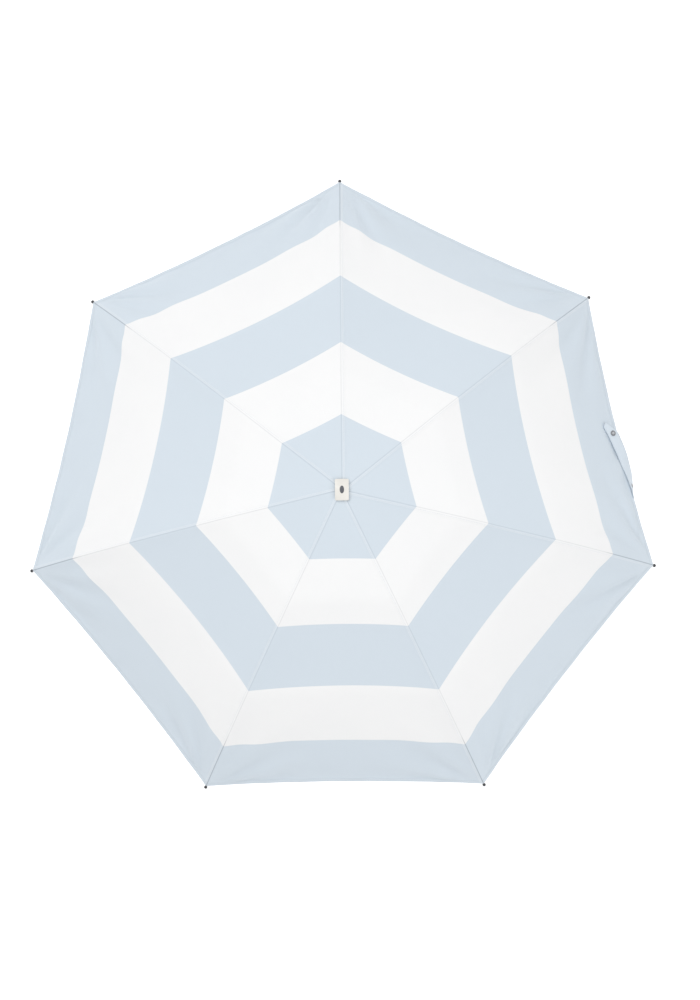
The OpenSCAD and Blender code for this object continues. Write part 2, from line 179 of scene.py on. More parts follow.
FLOOR_SIZE = 60
WORLD_LIGHT = 0.72
LIGHT_AIM = Vector((0, 0, 0.5))
LIGHTS = [("key", (-1.3, 1.3, 3.5), 2.4, 40), ("fill", (1.8, -1.2, 3.0), 2.6, 22)]  # place, size, watts

CAMERA_DISTANCE = 3.2
CAMERA_TILT = math.radians(2.9)
CAMERA_ROLL = math.radians(-0.5)
CAMERA_ASIDE = Vector((11.5 * MM, -14.7 * MM, 0))
LENS = 80.2
SENSOR = 36

record = frame["record"]
joints = {j["name"]: j for j in record["behaviour"]["joints"]}


def smooth(x):
    x = min(1.0, max(0.0, x))
    return x * x * (3 - 2 * x)


# ---- The ridge: the cloth's line over a rib, as distance from the shaft and height


def plan(point):
    return Vector((math.hypot(point[0], point[1]), point[2]))


def along(slope, length):
    return Vector((math.cos(slope), -math.sin(slope))) * length


def above(slope, height):
    return Vector((math.sin(slope), math.cos(slope))) * height


def slope_between(a, b):
    return math.atan2(a.y - b.y, b.x - a.x)


CROWN = plan(joints["main_rib_1_hinge"]["pos_m"])
SECOND = plan(joints["middle_rib_1_hinge"]["pos_m"])
THIRD = plan(joints["outer_rib_1_hinge"]["pos_m"])
MAIN_SLOPE = slope_between(CROWN, SECOND)
MIDDLE_SLOPE = slope_between(SECOND, THIRD)
ARC_R = (OUTER_LEN - FORK_LEN) / (TIP_SLOPE - OUTER_SLOPE)


def outer_point(u):
    """A point on the outer rib's centre line, and its slope there."""
    slope = OUTER_SLOPE + max(0.0, u - FORK_LEN) / ARC_R
    turn = Vector((math.sin(slope) - math.sin(OUTER_SLOPE), math.cos(slope) - math.cos(OUTER_SLOPE)))
    return THIRD + along(OUTER_SLOPE, min(u, FORK_LEN)) + turn * ARC_R, slope


def ridge_corners():
    top = CROWN.y + CROWN_LIFT
    points = [Vector((HOLE_R, top)), Vector((FLAT_R, top))]
    points.append(CROWN + along(MAIN_SLOPE, FIRST_ROW) + above(MAIN_SLOPE, RIDGE_LIFT))
    points.append(SECOND + above((MAIN_SLOPE + MIDDLE_SLOPE) / 2, RIDGE_LIFT))
    points.append(THIRD + above((MIDDLE_SLOPE + OUTER_SLOPE) / 2, RIDGE_LIFT))
    for k in range(1, ARC_PIECES + 1):
        point, slope = outer_point((OUTER_LEN - BARE_TIP) * k / ARC_PIECES)
        points.append(point + above(slope, RIDGE_LIFT))
    return points


def even_steps(points):
    """The same line with a point every STEP."""
    line, carried = [points[0].copy()], 0.0
    for a, b in zip(points, points[1:]):
        length = (b - a).length
        at = STEP - carried
        while at <= length:
            line.append(a.lerp(b, at / length))
            at += STEP
        carried = (carried + length) % STEP
    return line


def rounded(line):
    """The line with its corners rounded by a moving average that keeps both ends."""
    reach = int(CORNER_WINDOW / STEP)
    found = []
    for k in range(len(line)):
        r = min(reach, k, len(line) - 1 - k)
        total = Vector((0.0, 0.0))
        for p in line[k - r : k + r + 1]:
            total += p
        found.append(total / (2 * r + 1))
    return found


RIDGE = rounded(even_steps(ridge_corners()))
HEM_S = HOLE_R + (len(RIDGE) - 1) * STEP
RIM_R = RIDGE[-1].x


def ridge(s):
    """The ridge at a distance s along the cloth from the shaft's axis."""
    at = max((s - HOLE_R) / STEP, 0.0)
    k = min(int(at), len(RIDGE) - 2)
    return RIDGE[k].lerp(RIDGE[k + 1], at - k)


# ---- The canopy's surface


def rib_angle(i):
    return FIRST_RIB - (i - 1) * SECTOR


def panel_angle(i):
    """Panel i lies between rib i and rib i + 1, clockwise from above."""
    return rib_angle(i) - HALF


def bell(distance, width):
    return math.exp(-((distance / width) ** 2))


def waviness(seed, s, y):
    """Slow unevenness, outside the middle of the canopy."""
    drift = noise.noise(Vector((y * WAVES_ACROSS, s * WAVES_DOWN, 0)) + seed)
    return WAVE_H * drift * smooth((s / HEM_S - WAVE_FROM) / (WAVE_FULL - WAVE_FROM))


def fan(seed, i, s, y, side):
    """Creases that run out from one corner."""
    across, down = y - side * RIM_R * math.sin(HALF), s - HEM_S
    angle = math.atan2(across * -side, -down + FAN_BACK)
    distance = math.hypot(across, down)
    fade = smooth(distance / FAN_START) * (1 - smooth((distance - FAN_FULL) / FAN_FADE))
    drift = FAN_DRIFT * noise.noise(seed + Vector((angle * FAN_DRIFT, side, 1)))
    return FAN_H * math.sin(angle * FAN_RAYS + FAN_SHIFT * i + drift) * fade


def puckers(seed, s, y):
    """Soft folds behind the hem."""
    drift = PUCKER_DRIFT * noise.noise(seed + Vector((y * PUCKER_DRIFTS_ACROSS, 0, PUCKER_LAYER)))
    return PUCKER_H * math.sin(y / PUCKER_W + drift) * bell(HEM_S - s, PUCKER_REACH)


def wrinkle(i, s, y, t):
    """Height of panel i's creases, which the ribs' seams and the hem hold flat."""
    held = smooth((1 - abs(t)) / CREASE_EDGE) * (1 - HEM_HOLD * bell(HEM_S - s, HEM_HOLD_W))
    seed = Vector((PANEL_SEED[0] * i, PANEL_SEED[1] * i, 0.0))
    fans = fan(seed, i, s, y, -1) + fan(seed, i, s, y, 1)
    return held * (waviness(seed, s, y) + fans + puckers(seed, s, y))


def surface(i, s, t, lift=0.0, creased=True):
    """Panel i's cloth at s from the shaft, with t from -1 at rib i + 1 to 1 at rib i."""
    r, z = ridge(s)
    f, curve = r / RIM_R, 1 - t * t
    x = r * math.cos(HALF) - BOW * math.sin(BEND_TURN * f * f) * curve
    y = t * r * math.sin(HALF)
    z -= SAG * math.sin(BEND_TURN * f**SAG_POWER) * curve
    slope = TIP_SLOPE
    if s < HEM_S - (SLOPE_STEPS + 1) * STEP:
        slope = slope_between(ridge(s - SLOPE_STEPS * STEP), ridge(s + SLOPE_STEPS * STEP))
    height = lift + (wrinkle(i, s, y, t) if creased else 0.0)
    x += height * math.sin(slope)
    z += height * math.cos(slope)
    a = panel_angle(i)
    return Vector((x * math.cos(a) - y * math.sin(a), x * math.sin(a) + y * math.cos(a), z))


def seam_height(distance, side):
    """The felled seam: a groove on the rib, and a raised band on one side of it."""
    groove = -GROOVE_T * bell(distance, GROOVE_W)
    if side < 0:
        return groove
    return groove + SEAM_T * smooth(distance / SEAM_SOFT) * (1 - smooth((distance - SEAM_W) / SEAM_SOFT))


def row_places():
    """(s, lift) of each row, from the hole to the hem, and back under the hem's fold."""
    inner = [HOLE_R + (INNER_S - HOLE_R) * k / INNER_ROWS for k in range(INNER_ROWS)]
    fold = HEM_S - HEM_W
    body = [INNER_S + (fold - INNER_S) * k / ROWS for k in range(ROWS + 1)]
    rows = [(s, 0.0) for s in inner + body]
    rows += [(s, HEM_T) for s in (fold + HEM_STEP, HEM_S - HEM_W / 2, HEM_S - HEM_EDGE)]
    rows += [(HEM_S, 0.0), (HEM_S - HEM_EDGE, -HEM_T), (fold, -HEM_T)]
    return rows


def column_places(s):
    """t of each column, closer together beside the ribs' seams."""
    half = ridge(s).x * math.sin(HALF)
    near = [min(d, half * SEAM_SHARE * (k / len(SEAM_COLUMNS))) for k, d in enumerate(SEAM_COLUMNS)]
    inner = half - near[-1]
    middle = [half - inner * (1 - 2 * k / COLUMNS) for k in range(1, COLUMNS)]
    places = [half - d for d in near] + [half - m for m in middle] + [d - half for d in near]
    return [p / half for p in sorted(places)], half


def panel_mesh(i):
    bm = bmesh.new()
    cloth = bm.loops.layers.uv.new("cloth")
    edges = bm.loops.layers.uv.new("edges")
    grid = []
    for s, lift in row_places():
        places, half = column_places(s)
        row = []
        for t in places:
            distance = (1 - abs(t)) * half
            height = lift + seam_height(distance, 1 if t > 0 else -1)
            side = distance if t > 0 else -distance
            row.append((bm.verts.new(surface(i, s, t, height)), (t * half, s), (side, HEM_S - s)))
        grid.append(row)
    for upper, lower in zip(grid, grid[1:]):
        for k in range(len(upper) - 1):
            corners = (upper[k], lower[k], lower[k + 1], upper[k + 1])
            face = bm.faces.new([c[0] for c in corners])
            face.smooth = True
            for loop, corner in zip(face.loops, corners):
                loop[cloth].uv = corner[1]
                loop[edges].uv = corner[2]
    bm.normal_update()
    if bm.faces[:][0].normal.z < 0:
        bmesh.ops.reverse_faces(bm, faces=bm.faces[:])
        bm.normal_update()
    layers = [bm.verts.layers.float.new("normal_" + axis) for axis in "xyz"]
    for v in bm.verts:
        for layer, value in zip(layers, v.normal):
            v[layer] = value
    return bm


def cut(bm, point, normal, keep_above):
    """Keeps one side of a plane."""
    bmesh.ops.bisect_plane(
        bm,
        geom=bm.verts[:] + bm.edges[:] + bm.faces[:],
        dist=WELD,
        plane_co=point,
        plane_no=normal,
        clear_inner=keep_above,
        clear_outer=not keep_above,
    )


def make_object(bm, name, material):
    """An object from bm, which is freed."""
    mesh = bpy.data.meshes.new(name)
    bm.to_mesh(mesh)
    bm.free()
    mesh.materials.append(material)
    piece = bpy.data.objects.new(name, mesh)
    bpy.context.scene.collection.objects.link(piece)
    return piece


def finish_mesh(bm, name, material):
    """An object from bm, with the normals that the whole panel has."""
    piece = make_object(bm, name, material)
    mesh = piece.data
    names = ["normal_" + axis for axis in "xyz"]
    parts = [[item.value for item in mesh.attributes[key].data] for key in names]
    normals = [Vector(row).normalized() for row in zip(*parts)]
    for key in names:
        mesh.attributes.remove(mesh.attributes[key])
    mesh.normals_split_custom_set_from_vertices(normals)
    return piece


def in_space(i, point):
    """A point of rib i's plane, given as distance from the shaft and height."""
    a = rib_angle(i)
    return Vector((point.x * math.cos(a), point.x * math.sin(a), point.y))


def rib_direction(i, slope):
    a = rib_angle(i)
    return Vector((math.cos(a) * math.cos(slope), math.sin(a) * math.cos(slope), -math.sin(slope)))


TIP = outer_point(OUTER_LEN)[0]
ROSETTE = Vector((ROSETTE_R, CROWN.y))
SECOND_SLOPE = (MAIN_SLOPE + MIDDLE_SLOPE) / 2
THIRD_SLOPE = (MIDDLE_SLOPE + OUTER_SLOPE) / 2
CROWN_S = CROWN.x
SECOND_S = CROWN_S + (SECOND - CROWN).length
THIRD_S = SECOND_S + (THIRD - SECOND).length
# Each section of a rib: its body's name, its slope, the distance from the shaft to its middle,
# and how flat its cloth gets when folded
SECTIONS = [
    ("main_rib", MAIN_SLOPE, (CROWN_S + SECOND_S) / 2, 0.045),
    ("middle_rib", MIDDLE_SLOPE, (SECOND_S + THIRD_S) / 2, 0.022),
    ("outer_rib", slope_between(THIRD, TIP), (THIRD_S + HEM_S) / 2, 0.016),
]
# The planes that part the sections: each a point and a slope of its normal
CUTS = [
    (ROSETTE, 0.0),
    (SECOND, SECOND_SLOPE),
    (THIRD, THIRD_SLOPE),
]
# The ribbons over a rib part halfway between its pivots
RIBBON_CUTS = [
    (ROSETTE, 0.0),
    (CROWN.lerp(SECOND, 0.5), MAIN_SLOPE),
    (SECOND.lerp(THIRD, 0.5), MIDDLE_SLOPE),
]
# Each lies over one pivot: its name, the bodies it joins, the pivot and the slope there,
# and where along the cloth from the pivot it starts and stops bending
RIBBONS = [
    ("crown", "shaft_upper", "main_rib", CROWN, 0.0, -1 * MM, 6 * MM),
    ("fold", "main_rib", "middle_rib", SECOND, SECOND_SLOPE, -7 * MM, 7 * MM),
    ("knee", "middle_rib", "outer_rib", THIRD, THIRD_SLOPE, -7 * MM, 7 * MM),
]


def beside(i, side):
    """The level direction from rib i towards its panel on that side."""
    a = rib_angle(i)
    return Vector((-math.sin(a), math.cos(a), 0)) * side


def fold_axis(i, side, slope, s):
    """The direction across a half panel, square to its rib and away from it."""
    panel = i if side < 0 else (i - 2) % RIBS + 1
    out = surface(panel, s, 0.0, creased=False) - surface(panel, s, -side, creased=False)
    u = rib_direction(i, slope)
    return (out - u * out.dot(u)).normalized()


def make_gathered(i, side, part, section, material):
    """The cloth beside a ribbon, in one section, which rides with that section's rib."""
    body, slope, middle, keep = section
    hand = "left" if side < 0 else "right"
    piece = finish_mesh(part, f"canopy_{body.split('_')[0]}_{i}_{hand}", material)
    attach(piece, f"{body}_{i}")
    axis = fold_axis(i, side, slope, middle)
    panel = i if side < 0 else (i - 2) % RIBS + 1
    edge = surface(panel, middle, -side, creased=False) + beside(i, side) * RIBBON
    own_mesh(piece)
    return piece


def make_ribbons(i, strips, material):
    """The cloth over rib i: three pieces, each over one of the rib's pivots."""
    planes = [(in_space(i, point), rib_direction(i, slope)) for point, slope in RIBBON_CUTS]
    for k, (word, a, b, pivot, slope, first, last) in enumerate(RIBBONS):
        part = strips.copy()
        cut(part, *planes[k], True)
        if k + 1 < len(planes):
            cut(part, *planes[k + 1], False)
        piece = finish_mesh(part, f"canopy_{word}_{i}", material)
        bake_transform(piece)
    strips.free()


def make_canopy(material):
    rosette = bmesh.new()
    strips = {i: bmesh.new() for i in range(1, RIBS + 1)}
    for panel in range(1, RIBS + 1):
        whole = panel_mesh(panel)
        middle = Vector((-math.sin(panel_angle(panel)), math.cos(panel_angle(panel)), 0))
        for i, side in ((panel, -1), (panel % RIBS + 1, 1)):
            half = whole.copy()
            cut(half, Vector((0, 0, 0)), middle, side < 0)
            planes = [(in_space(i, point), rib_direction(i, slope)) for point, slope in CUTS]
            centre = half.copy()
            cut(centre, *planes[0], False)
            join(rosette, centre)
            edge = (beside(i, side) * RIBBON, beside(i, side))
            strip = half.copy()
            cut(strip, *edge, False)
            join(strips[i], strip)
            cut(half, *edge, True)
            for k, section in enumerate(SECTIONS):
                part = half.copy()
                cut(part, *planes[k], True)
                if k + 1 < len(planes):
                    cut(part, *planes[k + 1], False)
                piece = make_gathered(i, side, part, section, material)
            half.free()
        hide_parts(f"canopy_panel_{panel}")
        whole.free()
    for i, strip in strips.items():
        make_ribbons(i, strip, material)
    bmesh.ops.remove_doubles(rosette, verts=rosette.verts[:], dist=WELD)
    middle_piece = finish_mesh(rosette, "canopy_rosette", material)
    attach(middle_piece, "shaft_upper")


def join(target, part):
    """Adds part's mesh to target."""
    mesh = bpy.data.meshes.new("part")
    part.to_mesh(mesh)
    part.free()
    target.from_mesh(mesh)
    bpy.data.meshes.remove(mesh)


# ---- The closing strap and its press-stud


def strap_slope(k):
    return math.pi / 2 - (math.pi / 2 - STRAP_FLAT) * math.sin(math.pi / 2 * min(1.0, k / STRAP_FLAT_AT))


def strap_axes(k):
    """Directions across the strap, away from the shaft, and out of its outer face."""
    slope, a = strap_slope(k), panel_angle(STRAP_RIB - 1)
    out = Vector((math.cos(a), math.sin(a), 0))
    up = Vector((0, 0, 1))
    return out * math.cos(slope) - up * math.sin(slope), out * math.sin(slope) + up * math.cos(slope)


def strap_point(k, side, lift):
    """A point on the strap: k from its root to its free end, side across from its inner edge."""
    t = STRAP_ROOT + k * STRAP_LEN / (RIM_R * math.sin(HALF))
    inset = (STRAP_IN + STRAP_OUT) * max(k, 0.0) ** STRAP_CURVE - STRAP_OUT
    across, out = strap_axes(k)
    edge = surface(STRAP_RIB - 1, HEM_S - inset, t, 0.0, creased=False)
    return edge + Vector((0, 0, STRAP_LIFT)) + across * side + out * lift


def strap_end(k, w):
    """k moved back so that the free end is rounded and slants; w runs from 0 at the inner edge to 1."""
    outer = max(0.0, (w - 1 + STRAP_TIP) / STRAP_TIP) ** STRAP_SLANT_POWER * STRAP_SLANT
    inner = max(0.0, (1 - STRAP_TIP - w) / (1 - STRAP_TIP)) ** 2 * STRAP_ROUND
    share = smooth((k - STRAP_END_FROM) / (1 - STRAP_END_FROM)) ** STRAP_END_POWER
    return k - (outer + inner) / STRAP_LEN * share


def strap_lift(k, w):
    """Height of the strap's middle layer over its flat shape: it cups across and lies unevenly."""
    uneven = sum(height * math.sin(turn * k + start) for height, turn, start in STRAP_WAVES)
    cup = STRAP_CUP * (1 - (2 * w - 1) ** 2)
    curl = STRAP_CURL * smooth((k - STRAP_CURL_FROM) / (1 - STRAP_CURL_FROM)) * w
    return (uneven + cup) * smooth(k / STRAP_FIXED) + curl


def strap_ring(k):
    """The points round the strap at k, each with its place across and along it."""
    ring = []
    for layer, order in ((1, range(STRAP_STEPS + 1)), (-1, range(STRAP_STEPS - 1, 0, -1))):
        for n in order:
            w = n / STRAP_STEPS
            side = w * STRAP_W
            thick = layer * STRAP_T / 2 * (1 - abs(2 * w - 1) ** 5) ** 0.5
            at = strap_end(k, w)
            ring.append((strap_point(at, side, strap_lift(at, w) + thick), side, at * STRAP_LEN))
    return ring


def make_strap(material):
    bm = bmesh.new()
    cloth = bm.loops.layers.uv.new("cloth")
    edges = bm.loops.layers.uv.new("edges")
    rings = []
    for n in range(STRAP_ROWS + 1):
        k = n / STRAP_ROWS
        row = [(bm.verts.new(point), side, length) for point, side, length in strap_ring(k)]
        rings.append((row, (1 - k) * STRAP_LEN))
    for (a, end_a), (b, end_b) in zip(rings, rings[1:]):
        for n in range(len(a)):
            m = (n + 1) % len(a)
            corners = ((a[n], end_a), (b[n], end_b), (b[m], end_b), (a[m], end_a))
            face = bm.faces.new([c[0][0] for c in corners])
            face.smooth = True
            for loop, (vert, from_end) in zip(face.loops, corners):
                loop[cloth].uv = (vert[2], vert[1])
                loop[edges].uv = (min(vert[1], STRAP_W - vert[1]), from_end)
    for row, _ in (rings[0], rings[-1]):
        bm.faces.new([vert[0] for vert in row])
    bmesh.ops.recalc_face_normals(bm, faces=bm.faces[:])
    strap = make_object(bm, "closing_strap_cloth", material)
    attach(strap, f"outer_rib_{STRAP_RIB}")
    gather(strap, strap_distance(0))
    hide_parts("closing_strap")


STRAP_SIDE = fold_axis(STRAP_RIB, 1, *SECTIONS[2][1:3])


def strap_distance(k):
    """How far from the strap's rib a point of the strap is, across its half panel."""
    return (strap_point(k, STRAP_W / 2, 0.0) - in_space(STRAP_RIB, TIP)).dot(STRAP_SIDE)


def gather(piece, distance):
    """Gives the piece its own copy of its mesh; distance is not used."""
    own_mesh(piece)


def make_turned(name, profile, k, material, node):
    """A turned piece on the strap: a profile of radius and height, spun about the strap's normal."""
    middle = strap_point(k, STRAP_W / 2, strap_lift(k, 0.5) + STRAP_T / 2)
    side, up = strap_axes(k)
    other = up.cross(side)
    bm = bmesh.new()
    disc = bm.loops.layers.uv.new("disc")
    rings = []
    for r, h in [(r * MM, h * MM) for r, h in profile]:
        ring = []
        for n in range(SNAP_SIDES):
            a = 2 * math.pi * n / SNAP_SIDES
            point = middle + side * (r * math.cos(a)) + other * (r * math.sin(a)) + up * h
            ring.append(bm.verts.new(point))
        rings.append((ring, r))
    for (a, ra), (b, rb) in zip(rings, rings[1:]):
        for n in range(SNAP_SIDES):
            m = (n + 1) % SNAP_SIDES
            face = bm.faces.new((a[n], a[m], b[m], b[n]))
            face.smooth = True
            for loop, r in zip(face.loops, (ra, ra, rb, rb)):
                loop[disc].uv = (r, 0)
    for ring, _ in (rings[0], rings[-1]):
        bm.faces.new(ring)
    bmesh.ops.recalc_face_normals(bm, faces=bm.faces[:])
    piece = make_object(bm, name, material)
    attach(piece, f"outer_rib_{STRAP_RIB}")
    folded = FOLDED_ROOT + STRAP_FOLD * (strap_distance(k) - strap_distance(0))
    gather(piece, strap_distance(k))
    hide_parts(node)


# ---- The release button's spring


def make_spring(material):
    """A coil of wire between the runner's pocket and the button."""
    low, high = (Vector(corner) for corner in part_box("button_spring"))
    axis = Vector(joints["release_press"]["axis"]).normalized()
    middle = (low + high) / 2
    length = abs((high - low).dot(axis))
    coil_r = (high.z - low.z) / 2 - SPRING_WIRE
    start = middle - axis * (length / 2 - SPRING_WIRE)
    up = Vector((0, 0, 1))
    side = up.cross(axis)
    bm = bmesh.new()
    rings = []
    steps = SPRING_TURNS * SPRING_STEPS
    for n in range(steps + 1):
        a = 2 * math.pi * n / SPRING_STEPS
        out = side * math.cos(a) + up * math.sin(a)
        centre = start + out * coil_r + axis * ((length - 2 * SPRING_WIRE) * n / steps)
        ring = []
        for m in range(SPRING_SIDES):
            b = 2 * math.pi * m / SPRING_SIDES
            ring.append(bm.verts.new(centre + (out * math.cos(b) + axis * math.sin(b)) * SPRING_WIRE))
        rings.append(ring)
    for a, b in zip(rings, rings[1:]):
        for m in range(SPRING_SIDES):
            face = bm.faces.new((a[m], a[m - 1], b[m - 1], b[m]))
            face.smooth = True
    for ring in (rings[0], rings[-1]):
        bm.faces.new(ring)
    bmesh.ops.recalc_face_normals(bm, faces=bm.faces[:])
    coil = make_object(bm, "spring_coil", material)
    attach(coil, "runner")
    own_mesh(coil)
    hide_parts("button_spring")


# ---- Materials


class Nodes:
    """Short calls for building a node material."""

    def __init__(self, name, slot_color):
        self.material = bpy.data.materials.new(name)
        self.material.use_nodes = True
        self.material.diffuse_color = (*slot_color, 1)
        self.tree = self.material.node_tree
        self.tree.nodes.clear()
        self.output = self.add("ShaderNodeOutputMaterial")
        self.shader = self.add("ShaderNodeBsdfPrincipled")
        self.link(self.shader.outputs[0], self.output.inputs[0])

    def add(self, kind, **values):
        node = self.tree.nodes.new(kind)
        for key, value in values.items():
            setattr(node, key, value)
        return node

    def link(self, a, b):
        self.tree.links.new(a, b)

    def put(self, socket, value):
        if isinstance(value, bpy.types.NodeSocket):
            self.link(value, socket)
        else:
            socket.default_value = value

    def math(self, operation, a, b=0.0, c=0.0):
        node = self.add("ShaderNodeMath", operation=operation)
        for socket, value in zip(node.inputs, (a, b, c)):
            self.put(socket, value)
        return node.outputs[0]

    def mix(self, factor, a, b):
        node = self.add("ShaderNodeMix", data_type="RGBA")
        self.put(node.inputs[0], factor)
        self.put(node.inputs[6], a if isinstance(a, bpy.types.NodeSocket) else (*a, 1))
        self.put(node.inputs[7], b if isinstance(b, bpy.types.NodeSocket) else (*b, 1))
        return node.outputs[2]

    def ramp(self, value, low, high, out_low=0.0, out_high=1.0):
        node = self.add("ShaderNodeMapRange", interpolation_type="SMOOTHSTEP")
        for socket, v in zip(node.inputs, (value, low, high, out_low, out_high)):
            self.put(socket, v)
        return node.outputs[0]

    def uv(self, name):
        node = self.add("ShaderNodeUVMap", uv_map=name)
        parts = self.add("ShaderNodeSeparateXYZ")
        self.link(node.outputs[0], parts.inputs[0])
        return parts.outputs[0], parts.outputs[1], node.outputs[0]

    def place(self):
        node = self.add("ShaderNodeTexCoord")
        return node.outputs["Object"]

    def split(self, vector):
        parts = self.add("ShaderNodeSeparateXYZ")
        self.link(vector, parts.inputs[0])
        return parts.outputs[0], parts.outputs[1], parts.outputs[2]

    def scaled(self, vector, factors):
        node = self.add("ShaderNodeVectorMath", operation="MULTIPLY")
        self.link(vector, node.inputs[0])
        node.inputs[1].default_value = factors
        return node.outputs[0]

    def soft_edges(self, radius):
        """A normal that rounds the edges, and how far each point is on an edge."""
        bevel = self.add("ShaderNodeBevel", samples=6)
        bevel.inputs["Radius"].default_value = radius
        geometry = self.add("ShaderNodeNewGeometry")
        dot = self.add("ShaderNodeVectorMath", operation="DOT_PRODUCT")
        self.link(bevel.outputs[0], dot.inputs[0])
        self.link(geometry.outputs["Normal"], dot.inputs[1])
        return bevel.outputs[0], self.ramp(dot.outputs["Value"], 0.98, 0.8)

    def noise(self, vector, scale, detail=2.0):
        node = self.add("ShaderNodeTexNoise")
        self.put(node.inputs["Vector"], vector)
        node.inputs["Scale"].default_value = scale
        node.inputs["Detail"].default_value = detail
        return node.outputs[0]

    def bump(self, height, distance, strength=1.0, normal=None):
        node = self.add("ShaderNodeBump")
        node.inputs["Strength"].default_value = strength
        node.inputs["Distance"].default_value = distance
        self.link(height, node.inputs["Height"])
        if normal is not None:
            self.link(normal, node.inputs["Normal"])
        return node.outputs[0]

    def set(self, **values):
        for key, value in values.items():
            self.put(self.shader.inputs[key.replace("_", " ")], value)


BLUE = (0.645, 0.718, 0.785)
WHITE = (0.90, 0.90, 0.90)
STRAP_BLUE = (0.66, 0.732, 0.80)
# THREAD_SHADE is painted shade for the weave's low points
THREAD_SHADE = (0.42, 0.5, 0.6)
TONE_SHADE = (0.5, 0.56, 0.63)
SLUB_LIGHT = (0.96, 0.97, 1.0)
STITCH_SHADE = (0.45, 0.52, 0.6)
# GROOVE_SHADE is painted shade in the seams' grooves
GROOVE_SHADE = (0.16, 0.19, 0.23)
SEAM_LIGHT = (0.97, 0.98, 1.0)
# HEM_EDGE_SHADE is painted shade along the hem's turned edge
HEM_EDGE_SHADE = (0.45, 0.43, 0.47)
# FOLD_SHADE is painted shade, along the hem's fold line and along the strap's edges
FOLD_SHADE = (0.35, 0.4, 0.47)
THREAD_PITCH = 0.42 * MM
STITCH = 2.6 * MM
STITCH_W = 0.3 * MM
SEAM_STITCH_AT = 3.4 * MM
HEM_STITCH_AT = 5.6 * MM
STRAP_STITCH_AT = 1.8 * MM


def woven(n, colour, across, down, cloth):
    """Plain weave with uneven threads, painted shade in the weave's low points and slow changes of tone:
    its colour and its threads' heights.
    """
    turn = 2 * math.pi / THREAD_PITCH
    warp = n.math("SINE", n.math("MULTIPLY", across, turn))
    weft = n.math("SINE", n.math("MULTIPLY", down, turn))
    weave = n.math("MULTIPLY", warp, weft)
    slub = n.noise(cloth, 900, 3)
    tone = n.noise(cloth, 9, 3)
    thread = n.math("MULTIPLY_ADD", weave, 0.5, 0.5)
    # Painted shade: the weave's low points are darkened towards THREAD_SHADE
    colour = n.mix(n.ramp(thread, 0, 1, 0.05, 0.0), colour, THREAD_SHADE)
    colour = n.mix(n.ramp(tone, 0.35, 0.7, 0.0, 0.03), colour, TONE_SHADE)
    colour = n.mix(n.ramp(slub, 0.4, 0.75, 0.0, 0.04), colour, SLUB_LIGHT)
    return colour, weave, slub


def stitches(n, along_line, distance, at):
    """A row of stitches at a distance from an edge."""
    dash = n.ramp(n.math("FRACT", n.math("MULTIPLY", along_line, 1 / STITCH)), 0.28, 0.36)
    line = n.ramp(n.math("ABSOLUTE", n.math("SUBTRACT", distance, at)), 0.16 * MM, STITCH_W, 1, 0)
    return n.math("MULTIPLY", dash, line)


def finish_cloth(n, colour, weave, slub, stitch):
    colour = n.mix(n.math("MULTIPLY", stitch, 0.4), colour, STITCH_SHADE)
    rough = n.ramp(slub, 0.3, 0.8, 0.62, 0.8)
    n.set(Base_Color=colour, Roughness=rough, Specular_IOR_Level=0.3)
    n.set(Sheen_Weight=0.1, Sheen_Roughness=0.5)
    relief = n.bump(n.math("ADD", weave, n.math("MULTIPLY", slub, 1.5)), 0.05 * MM, 0.5)
    n.set(Normal=n.bump(stitch, 0.15 * MM, 0.6, relief))
    return n.material


def fabric_material():
    """The canopy's cloth: woven bands, a seam along each rib and a stitched hem, with painted shade in
    the seams' grooves and along the hem's edge and fold.
    """
    n = Nodes("canopy_cloth", BLUE)
    across, down, cloth = n.uv("cloth")
    side, from_hem, _ = n.uv("edges")
    wave = n.math("SINE", n.math("MULTIPLY", down, math.pi / BAND))
    colour = n.mix(n.ramp(wave, 0.012, -0.012), BLUE, WHITE)
    colour, weave, slub = woven(n, colour, across, down, cloth)
    # The seam on each rib has painted shade in its groove, stronger near the hem, with a lighter felled
    # band beside it
    distance = n.math("ABSOLUTE", side)
    near_hem = n.ramp(from_hem, 0.12, 0.09, 0.16, 0.5)
    groove = n.ramp(distance, 0.2 * MM, 1.2 * MM, 1.0, 0.0)
    colour = n.mix(n.math("MULTIPLY", groove, near_hem), colour, GROOVE_SHADE)
    inside = n.ramp(side, 1.2 * MM, 2.0 * MM)
    outside = n.ramp(side, SEAM_W, SEAM_W + SEAM_SOFT, 1, 0)
    band = n.math("MULTIPLY", inside, outside)
    colour = n.mix(n.math("MULTIPLY", band, 0.16), colour, SEAM_LIGHT)
    # Painted shade along the hem's turned edge
    edge = n.ramp(from_hem, 0.0, 1.2 * MM, 0.22, 0.0)
    colour = n.mix(edge, colour, HEM_EDGE_SHADE)
    # Painted shade along the line where the hem's turned-under part ends
    from_fold = n.math("ABSOLUTE", n.math("SUBTRACT", from_hem, HEM_W))
    colour = n.mix(n.ramp(from_fold, 0.1 * MM, 0.7 * MM, 0.14, 0.0), colour, FOLD_SHADE)
    seam_stitch = stitches(n, down, side, SEAM_STITCH_AT)
    hem_stitch = stitches(n, across, from_hem, HEM_STITCH_AT)
    return finish_cloth(n, colour, weave, slub, n.math("MAXIMUM", seam_stitch, hem_stitch))


def strap_material():
    """The strap's cloth: two layers, stitched round their edge, with painted shade along that edge."""
    n = Nodes("strap_cloth", STRAP_BLUE)
    along_strap, side, cloth = n.uv("cloth")
    from_side, from_end, _ = n.uv("edges")
    colour, weave, slub = woven(n, STRAP_BLUE, along_strap, side, cloth)
    from_edge = n.math("MINIMUM", from_side, from_end)
    # Painted shade along the strap's edges
    colour = n.mix(n.ramp(from_edge, 0.0, 1.0 * MM, 0.25, 0.0), colour, FOLD_SHADE)
    return finish_cloth(n, colour, weave, slub, stitches(n, along_strap, from_edge, STRAP_STITCH_AT))


